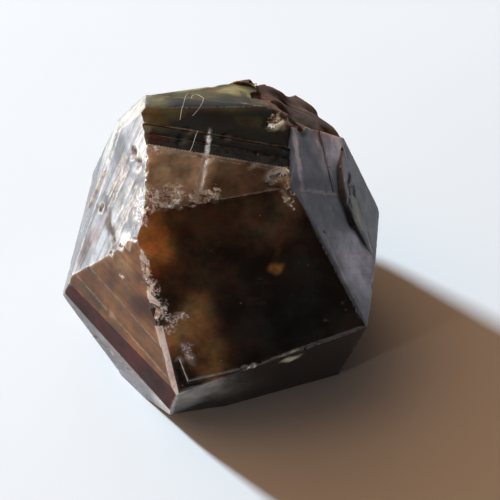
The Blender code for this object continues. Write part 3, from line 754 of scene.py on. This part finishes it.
def stoneMaterial(v):
    material = bpy.data.materials.new("garnet")
    material.use_nodes = True
    tree = material.node_tree
    tree.nodes.clear()
    place = addNode(tree, "ShaderNodeTexCoord").outputs["Object"]

    def layer(name, output="Fac"):
        return addNode(tree, "ShaderNodeAttribute", attribute_name=name).outputs[output]

    tone = layer("tone", "Color")
    finish = layer("finish", "Vector")
    plainRough, broken, lineShare = addNode(tree, "ShaderNodeSeparateXYZ", {0: finish}).outputs

    # cloudy depth of colour, and dark lines drawn out along the growth lines
    clouds = noiseNode(tree, place, v["cloudScale"], 6.0, 0.62)
    gain = mapRange(tree, clouds, 0.32, 0.70, (1 - v["cloudContrast"], 1 + v["cloudContrast"]))
    base = tint(tree, tone, addNode(tree, "ShaderNodeCombineColor", {0: gain, 1: gain, 2: gain}).outputs[0])
    mottle = mapRange(tree, noiseNode(tree, place, v["mottleScale"], 4.0, 0.65), 0.36, 0.64)
    blue = addNode(tree, "ShaderNodeSeparateColor", {0: tone}).outputs["Blue"]
    smooth = mathNode(tree, "SUBTRACT", 1.0, multiply(tree, lineShare, v["mottleOffLines"]))
    mottled = tint(tree, base, mixColour(tree, mottle, v["redCast"], v["greenCast"]))
    base = mixColour(tree, multiply(tree, mapRange(tree, blue, 0.14, 0.04), smooth), base, mottled)
    lined = scaleAxes(tree, layer("grain", "Vector"), v["lineStretch"])
    lines = mapRange(tree, noiseNode(tree, lined, 1.0, 5.0, 0.7), 0.50, 0.60)
    lines = multiply(tree, lines, multiply(tree, lineShare, v["lineDark"]))
    base = mixColour(tree, lines, base, tint(tree, base, v["lineTone"]))

    # bare, scattered stone where it is chipped, worn or bruised; in the bruises its flecks are partly
    # painted glints
    hurt = mathNode(tree, "MAXIMUM", mathNode(tree, "MAXIMUM", layer("wear"), layer("nick")), broken)
    grit = mapRange(tree, noiseNode(tree, place, v["gritScale"], 4.0, 0.65), 0.40, 0.60, (0.35, 1.0))
    bareness = multiply(tree, multiply(tree, hurt, layer("pale")), grit)
    bruised = layer("bruised")
    flakes = noiseNode(tree, place, v["flakeScale"], 3.0, 0.7)
    flakes = mathNode(tree, "ADD", flakes, multiply(tree, bruised, v["flakeSpread"]))
    paintedGlint = mapRange(tree, noiseNode(tree, place, v["paintedGlintScale"], 2.0, 0.55), 0.42, 0.58, (0.35, 1.0))
    flecks = multiply(tree, mapRange(tree, flakes, 0.52, 0.74), paintedGlint)
    flecks = multiply(tree, flecks, mapRange(tree, bruised, 0.0, 0.3))
    bareness = mathNode(tree, "MAXIMUM", bareness, flecks)
    base = mixColour(tree, bareness, base, v["bareTone"])

    # specks of dust, in a few of the cells
    specks = addNode(tree, "ShaderNodeTexVoronoi", {"Vector": place, "Scale": v["speckScale"]}, feature="F1")
    size = mapRange(tree, specks.outputs["Distance"], 0.10, 0.05)
    pick = addNode(tree, "ShaderNodeSeparateColor", {0: specks.outputs["Color"]}).outputs[0]
    dust = multiply(tree, multiply(tree, size, mapRange(tree, pick, 0.90, 0.92)), v["dustShare"])
    base = mixColour(tree, dust, base, v["dustTone"])

    smudge = mapRange(tree, noiseNode(tree, place, v["smudgeScale"], 4.0, 0.55), 0.35, 0.7, v["smudgeRough"])
    rough = mathNode(tree, "ADD", plainRough, smudge)
    rough = mathNode(tree, "ADD", rough, multiply(tree, bareness, v["bareRough"]), clamp=True)

    fineGain = mathNode(tree, "ADD", lineShare, v["lineBump"])
    fine = multiply(tree, noiseNode(tree, lined, 3.0, 4.0, 0.6), fineGain)
    lumpGain = mathNode(tree, "ADD", multiply(tree, bareness, v["bareBump"]), v["lumpBump"])
    lumps = multiply(tree, noiseNode(tree, place, v["lumpScale"], 3.0, 0.55), lumpGain)
    bump = addNode(tree, "ShaderNodeBump", {"Height": mathNode(tree, "ADD", fine, lumps),
                                            "Strength": v["bump"], "Distance": v["bumpDepth"]}).outputs[0]

    shader = addNode(tree, "ShaderNodeBsdfPrincipled", {
        "Base Color": base, "Metallic": 0.0, "Roughness": rough, "Normal": bump,
        "IOR": v["ior"], "Specular IOR Level": v["shine"], "Transmission Weight": v["clear"],
        "Subsurface Weight": v["scatter"], "Subsurface Radius": v["reach"],
        "Subsurface Scale": v["depth"]}).outputs[0]
    inside = addNode(tree, "ShaderNodeVolumeAbsorption",
                     {"Color": v["absorb"], "Density": v["density"]}).outputs[0]
    addNode(tree, "ShaderNodeOutputMaterial", {"Surface": shader, "Volume": inside})
    return material


sharpFrom = 14   # degrees from which an edge stays sharp

garnet = stoneMaterial(stoneFinish)
crystal = makeStone()
print("stone surface refined:", len(crystal.data.polygons), "triangles")
crystal.data = runTree(crystal, reliefTree("crystalRelief", reliefSet), reliefSet, garnet)
crystal.data.name = "garnetCrystal"
crystal.data.shade_smooth()
crystal.data.set_sharp_from_angle(angle=math.radians(sharpFrom))
print("relief cut")
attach(crystal, "root")
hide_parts("garnet_crystal")

# Lint on the crown: each fibre runs through points given in mm as right, back and height over the stone.
lintSet = {
    "thickness": 0.030 * mm, "sides": 6, "steps": 28,
    "tone": (0.62, 0.58, 0.48, 1), "rough": 0.6,
    "dropFrom": 20,   # mm over the growth centre, from where the points drop onto the stone
    "fibres": [
        [(-2.7, 6.2, 0.05), (-2.9, 4.7, 0.25), (-3.0, 3.4, 0.30), (-3.2, 2.4, 0.20), (-3.3, 1.7, 0.04)],
        [(-2.5, 4.6, 0.04), (-2.1, 5.5, 0.25), (-1.7, 5.1, 0.30),
         (-1.5, 3.8, 0.28), (-1.8, 2.9, 0.18), (-2.3, 2.2, 0.04)],
        [(-1.9, 0.8, 0.03), (-2.1, 0.1, 0.18), (-2.3, -0.6, 0.18), (-2.5, -1.0, 0.03)],
    ],
}


def lintMaterial(v):
    material = bpy.data.materials.new("lint")
    material.use_nodes = True
    shader = material.node_tree.nodes["Principled BSDF"]
    shader.inputs["Base Color"].default_value = v["tone"]
    shader.inputs["Roughness"].default_value = v["rough"]
    return material


# Turns curves into round threads with closed ends.
def threadTree(v):
    tree = bpy.data.node_groups.new("threads", "GeometryNodeTree")
    addSockets(tree, "INPUT", Geometry="Geometry", Thickness="Float", Material="Material")
    addSockets(tree, "OUTPUT", Geometry="Geometry")
    given = tree.nodes.new("NodeGroupInput").outputs
    radius = multiply(tree, given["Thickness"], 0.5)
    ring = addNode(tree, "GeometryNodeCurvePrimitiveCircle",
                   {"Resolution": v["sides"], "Radius": radius}).outputs[0]
    even = addNode(tree, "GeometryNodeResampleCurve",
                   {"Curve": given["Geometry"], "Count": v["steps"]}).outputs[0]
    tube = addNode(tree, "GeometryNodeCurveToMesh",
                   {"Curve": even, "Profile Curve": ring, "Fill Caps": True}).outputs[0]
    endTree(tree, tube, given["Material"])
    return tree


def makeLint(v, stone):
    curve = bpy.data.curves.new("lintLines", "CURVE")
    curve.dimensions = "3D"
    surface = BVHTree.FromPolygons([p.co for p in stone.vertices], [f.vertices[:] for f in stone.polygons])
    for fibre in v["fibres"]:
        line = curve.splines.new("BEZIER")
        line.bezier_points.add(len(fibre) - 1)
        for point, (right, back, over) in zip(line.bezier_points, fibre):
            above = growthCentre + Vector((right, back, v["dropFrom"])) * mm
            under = surface.ray_cast(above, Vector((0, 0, -1)))[0]
            point.co = under + Vector((0, 0, over * mm))
            point.handle_left_type = point.handle_right_type = "AUTO"
    lines = bpy.data.objects.new("lintLines", curve)
    scene.collection.objects.link(lines)
    bpy.context.view_layer.update()
    threads = runTree(lines, threadTree(v), {"Thickness": v["thickness"]}, lintMaterial(v))
    bpy.data.objects.remove(lines)
    threads.shade_smooth()
    lint = bpy.data.objects.new("lint", threads)
    scene.collection.objects.link(lint)
    return lint


lint = makeLint(lintSet, crystal.data)
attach(lint, "root")
print("lint laid:", len(lint.data.polygons), "faces")

studioSet = {
    "floorSize": 1.6, "floorTone": (0.87, 0.90, 0.93, 1), "floorRough": 0.75,
    "patchScale": 40.0, "patchShade": 0.985,   # faint darker patches in the floor
    # name, bearing and height in degrees, distance and size in m, power in W, tint
    "lamps": [
        ("window", 140, 27, 1.2, 0.11, 26.6, (0.79, 0.935, 1.035)),
        ("card", -148, 3, 0.5, 0.05, 0.70, (1.0, 0.76, 0.58)),
    ],
    "roomDark": (0.040, 0.031, 0.029, 1), "roomLight": (1.05, 0.58, 0.29, 1),
    "lightFrom": (-0.72, 0.60, 0.34),
    "lightRise": (0.25, 1.0),                  # dark below the first share of facing it, light at the second
    "backdropTone": (0.80, 0.82, 0.84, 1),
}


def floorMaterial(v):
    material = bpy.data.materials.new("floorPaper")
    material.use_nodes = True
    tree = material.node_tree
    shader = tree.nodes["Principled BSDF"]
    place = addNode(tree, "ShaderNodeTexCoord").outputs["Object"]
    patches = mapRange(tree, noiseNode(tree, place, v["patchScale"]), 0.3, 0.7)
    darker = tuple(c * v["patchShade"] for c in v["floorTone"][:3]) + (1,)
    tree.links.new(mixColour(tree, patches, v["floorTone"], darker), shader.inputs["Base Color"])
    shader.inputs["Roughness"].default_value = v["floorRough"]
    return material


def makeFloor(v):
    half = v["floorSize"] / 2
    mesh = bpy.data.meshes.new("floor")
    corners = [(-half, -half, 0), (half, -half, 0), (half, half, 0), (-half, half, 0)]
    mesh.from_pydata(corners, [], [(0, 1, 2, 3)])
    mesh.materials.append(floorMaterial(v))
    floor = bpy.data.objects.new("floor", mesh)
    scene.collection.objects.link(floor)


def addLamp(name, bearing, height, distance, size, power, tone):
    b, h = math.radians(bearing), math.radians(height)
    away = Vector((math.cos(h) * math.cos(b), math.cos(h) * math.sin(b), math.sin(h)))
    light = bpy.data.lights.new(name, "AREA")
    light.shape, light.size, light.energy, light.color = "SQUARE", size, power, tone
    lamp = bpy.data.objects.new(name, light)
    turn = away.to_track_quat("Z", "Y").to_matrix().to_4x4()
    lamp.matrix_world = Matrix.Translation(growthCentre + away * distance) @ turn
    scene.collection.objects.link(lamp)


# Warm light from the window's side, darkness opposite it, and a plain backdrop for the camera.
def makeRoom(v):
    world = bpy.data.worlds.new("room")
    scene.world = world
    world.use_nodes = True
    tree = world.node_tree
    tree.nodes.clear()
    seen = addNode(tree, "ShaderNodeLightPath").outputs["Is Camera Ray"]
    way = addNode(tree, "ShaderNodeTexCoord").outputs["Generated"]
    facing = addNode(tree, "ShaderNodeVectorMath", {0: way, 1: v["lightFrom"]},
                     operation="DOT_PRODUCT").outputs["Value"]
    room = mixColour(tree, mapRange(tree, facing, *v["lightRise"]), v["roomDark"], v["roomLight"])
    colour = mixColour(tree, seen, room, v["backdropTone"])
    back = addNode(tree, "ShaderNodeBackground", {"Color": colour, "Strength": 1.0}).outputs[0]
    addNode(tree, "ShaderNodeOutputWorld", {0: back})


makeFloor(studioSet)
for lampRow in studioSet["lamps"]:
    addLamp(*lampRow)
makeRoom(studioSet)
scene.view_settings.view_transform = "Standard"
print("studio ready")

bpy.context.view_layer.update()
